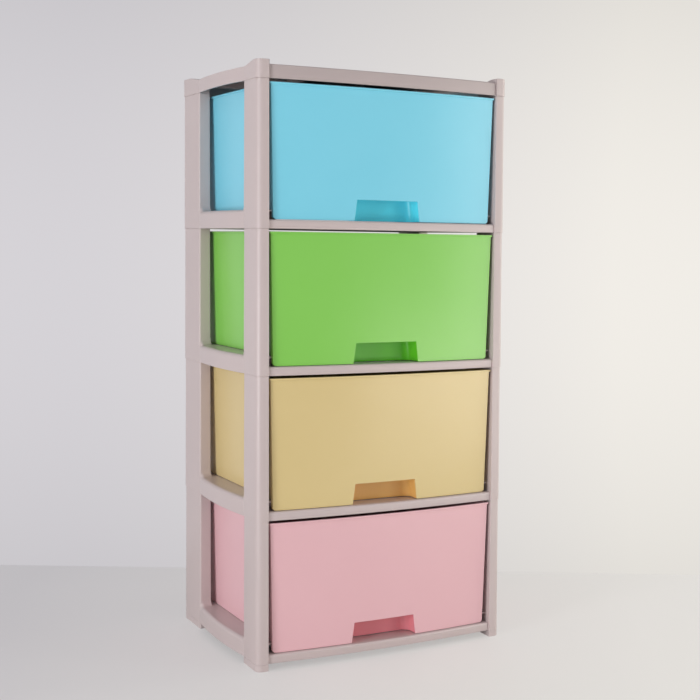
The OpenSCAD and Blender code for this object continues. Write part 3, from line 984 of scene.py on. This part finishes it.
class TOWER_OT_cover(bpy.types.Operator):
    """Build the top cover"""

    bl_idname = "tower.cover"
    bl_label = "Top cover"

    def execute(self, context):
        shape = context.scene.tower_shape
        # The cover's second material is the frame's plastic darkened by painted shade
        piece = cap_and_rim_shell(shape).made(
            "top_cover_moulding",
            [plastics()["frame plastic"], plastics()["cover plastic"]], shape.frame_edge,
            lift=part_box("top_cover")[0].z)
        dress(piece, "frame", "frame", "top_cover")
        return {"FINISHED"}


class TOWER_OT_drawers(bpy.types.Operator):
    """Build the four drawers"""

    bl_idname = "tower.drawers"
    bl_label = "Drawers"

    def execute(self, context):
        shape = context.scene.tower_shape
        shell = drawer_shell(shape)
        for tier, slot in zip(TIERS, DRAWER_SLOTS):
            node = f"drawer_{tier}"
            tone = slot.split("_")[0]
            # Each drawer's second material is its pocket tone, painted bounce light
            piece = shell.made(node + "_moulding",
                               [plastics()[tone + " plastic"], plastics()[tone + " pocket"]],
                               shape.drawer_edge, lift=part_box(node)[0].z)
            dress(piece, node, slot, node)
        return {"FINISHED"}


# ---- Studio ----


def soft_lamp(name, place, target, width, height, power, colour):
    lamp = bpy.data.lights.new(name, "AREA")
    lamp.shape = "RECTANGLE"
    lamp.size = width
    lamp.size_y = height
    lamp.energy = power
    lamp.color = colour
    made = new_object(name, lamp)
    made.location = place
    made.rotation_euler = (Vector(target) - Vector(place)).to_track_quat("-Z", "Y").to_euler()


def backdrop_world():
    """A pale wall for the eye and for gloss, and an even soft fill for the rest."""
    world = bpy.data.worlds.new("Studio")
    world.use_nodes = True
    tree = world.node_tree
    tree.nodes.clear()
    make = node_maker(tree)
    calc = math_maker(make)
    studio = bpy.context.scene.studio_settings
    parts = make("ShaderNodeSeparateXYZ", {0: make("ShaderNodeTexCoord").outputs["Generated"]})
    # A cool pale wall on the left, a warm and brighter one on the right
    across = make("ShaderNodeMapRange", {"Value": parts.outputs[0], "From Min": 0.22,
                                         "From Max": 0.585}).outputs[0]
    wall = make("ShaderNodeMixRGB", {"Fac": calc("POWER", across, 1.5),
                                     "Color1": (*studio.wall_left, 1),
                                     "Color2": (*studio.wall_right, 1)})
    # It falls off evenly above and below its middle
    height = make("ShaderNodeMapRange", {"Value": parts.outputs[2], "From Min": -0.24,
                                         "From Max": 0.18, "To Min": -1.0}).outputs[0]
    falloff = calc("SUBTRACT", 1.0, calc("MULTIPLY", calc("MULTIPLY", height, height),
                                         studio.wall_falloff))
    seen = make("ShaderNodeBackground", {"Color": wall.outputs[0], "Strength": falloff})
    felt = make("ShaderNodeBackground", {"Color": (0.96, 0.97, 1.0, 1),
                                         "Strength": studio.room_light})
    path = make("ShaderNodeLightPath")
    shown = calc("MAXIMUM", path.outputs["Is Camera Ray"],
                 calc("MAXIMUM", path.outputs["Is Glossy Ray"],
                      path.outputs["Is Transmission Ray"]))
    mixed = make("ShaderNodeMixShader", {0: shown, 1: felt.outputs[0], 2: seen.outputs[0]})
    end = make("ShaderNodeOutputWorld")
    tree.links.new(mixed.outputs[0], end.inputs[0])
    return world


def floor_material(colour, side):
    """A pale table top, with painted light that makes it a little brighter towards the right."""
    made = bpy.data.materials.new("pale floor")
    made.use_nodes = True
    shader = made.node_tree.nodes["Principled BSDF"]
    make = node_maker(made.node_tree)
    where = make("ShaderNodeTexCoord").outputs["Object"]
    across = make("ShaderNodeVectorMath", {0: where, 1: side}, operation="DOT_PRODUCT")
    bright = make("ShaderNodeMapRange", {"Value": across.outputs["Value"], "From Min": -0.6,
                                         "From Max": 0.5})
    grain = make("ShaderNodeTexNoise", {"Vector": where, "Scale": 3.0, "Detail": 3.0})
    tone = make("ShaderNodeMixRGB", {"Fac": grain.outputs["Fac"], "Color1": (*colour, 1),
                                     "Color2": (*[0.97 * c for c in colour], 1)})
    # Painted light: the table top's colour is darker at the left and brighter towards the right
    lit = make("ShaderNodeMixRGB", {"Fac": bright.outputs[0], "Color1": (0.88, 0.86, 0.87, 1),
                                    "Color2": (1.12, 1.11, 1.09, 1)})
    final = make("ShaderNodeMixRGB", {"Fac": 1.0, "Color1": tone.outputs[0],
                                      "Color2": lit.outputs[0]}, blend_type="MULTIPLY")
    made.node_tree.links.new(final.outputs[0], shader.inputs["Base Color"])
    shader.inputs["Roughness"].default_value = 0.5
    # To the camera alone the table top glows as pale as the wall, with painted light that brightens
    # it towards the right, and it keeps the shadow
    glow_share = 0.55
    pale = make("ShaderNodeMixRGB", {"Fac": bright.outputs[0], "Color1": (0.63, 0.61, 0.64, 1),
                                     "Color2": (0.90, 0.87, 0.83, 1)})
    glow = make("ShaderNodeEmission", {"Color": pale.outputs[0], "Strength": 1.0})
    seen = make("ShaderNodeMath", {0: make("ShaderNodeLightPath").outputs["Is Camera Ray"],
                                   1: glow_share}, operation="MULTIPLY")
    both = make("ShaderNodeMixShader", {0: seen.outputs[0], 1: shader.outputs[0],
                                        2: glow.outputs[0]})
    made.node_tree.links.new(both.outputs[0],
                             made.node_tree.nodes["Material Output"].inputs["Surface"])
    return made


class TOWER_OT_studio(bpy.types.Operator):
    """Set up the floor, the lamps and the camera"""

    bl_idname = "tower.studio"
    bl_label = "Studio"

    def execute(self, context):
        scene = context.scene
        studio = scene.studio_settings
        scene.world = backdrop_world()
        scene.view_settings.view_transform = "Standard"

        # The camera, turned and tipped as the photographer held it
        yaw, pitch, roll = 0.53382, 0.07958, 0.01443
        stand = Vector((-0.89717, -1.99284, 0.63081))
        ahead = Vector((math.sin(yaw) * math.cos(pitch), math.cos(yaw) * math.cos(pitch),
                        -math.sin(pitch)))
        right = Vector((math.cos(yaw), -math.sin(yaw), 0))
        up = right.cross(ahead)
        right, up = (math.cos(roll) * right + math.sin(roll) * up,
                     math.cos(roll) * up - math.sin(roll) * right)
        lens = bpy.data.cameras.new("View")
        lens.lens = studio.focal
        lens.sensor_width = 36
        lens.shift_x = -0.2
        lens.clip_start = 0.05
        camera = new_object("View", lens)
        turn = Matrix((right, up, -ahead)).transposed().to_4x4()
        camera.matrix_world = Matrix.Translation(stand) @ turn
        scene.camera = camera

        # A table top whose far edge lies behind the tower
        far, deep, half_width = 2.55, 6, 4
        mesh = bpy.data.meshes.new("floor")
        level = Vector((ahead.x, ahead.y, 0)).normalized()
        side = Vector((level.y, -level.x, 0))
        far_edge = Vector((stand.x, stand.y, 0)) + far * level
        near_edge, across = far_edge - deep * level, half_width * side
        mesh.from_pydata([near_edge - across, near_edge + across, far_edge + across,
                          far_edge - across], [], [(0, 1, 2, 3)])
        mesh.materials.append(floor_material(studio.floor_colour, side))
        new_object("floor", mesh)

        low_power = studio.low_power
        for name, place, width, height, power, colour in (
                ("left lamp", (-3.1, -1.45, 0.6), 0.8, 2.2, studio.left_power, (0.99, 0.985, 1)),
                ("right lamp", (3.0, -0.6, 0.8), 1.2, 2.2, studio.right_power, (1, 0.97, 0.88)),
                ("strip lamp", (2.2, -2.3, 0.8), 0.8, 2.2, studio.strip_power, (1, 0.98, 0.93)),
                ("low left lamp", (-2.3, -0.9, 0.15), 0.8, 0.6, low_power, (1, 0.99, 0.99)),
                ("low right lamp", (1.1, -1.7, 0.1), 0.9, 0.5, 0.36 * low_power, (1, 0.95, 0.88))):
            soft_lamp(name, place, (0, 0, 0.44), width, height, power, colour)
        return {"FINISHED"}


class TOWER_PT_panel(bpy.types.Panel):
    """Lists the pieces and their values"""

    bl_idname = "TOWER_PT_panel"
    bl_label = "Drawer tower"
    bl_space_type = "VIEW_3D"
    bl_region_type = "UI"
    bl_category = "Drawer tower"

    def draw(self, context):
        for group in (context.scene.tower_shape, context.scene.tower_finish,
                      context.scene.studio_settings):
            box = self.layout.box()
            for name in group.__annotations__:
                box.prop(group, name)
        for step in STEPS:
            self.layout.operator(step.bl_idname)


STEPS = (TOWER_OT_studio, TOWER_OT_side_frames, TOWER_OT_cross_rails, TOWER_OT_feet,
         TOWER_OT_cover, TOWER_OT_drawers)
CLASSES = (TowerShape, TowerFinish, StudioSettings, *STEPS, TOWER_PT_panel)


def register():
    for kind in CLASSES:
        bpy.utils.register_class(kind)
    bpy.types.Scene.tower_shape = PointerProperty(type=TowerShape)
    bpy.types.Scene.tower_finish = PointerProperty(type=TowerFinish)
    bpy.types.Scene.studio_settings = PointerProperty(type=StudioSettings)


def unregister():
    del bpy.types.Scene.studio_settings
    del bpy.types.Scene.tower_finish
    del bpy.types.Scene.tower_shape
    for kind in reversed(CLASSES):
        bpy.utils.unregister_class(kind)


def main():
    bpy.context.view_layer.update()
    register()
    for step in STEPS:
        family, name = step.bl_idname.split(".")
        getattr(getattr(bpy.ops, family), name)()
    bpy.context.view_layer.update()


if __name__ == "__main__":
    main()
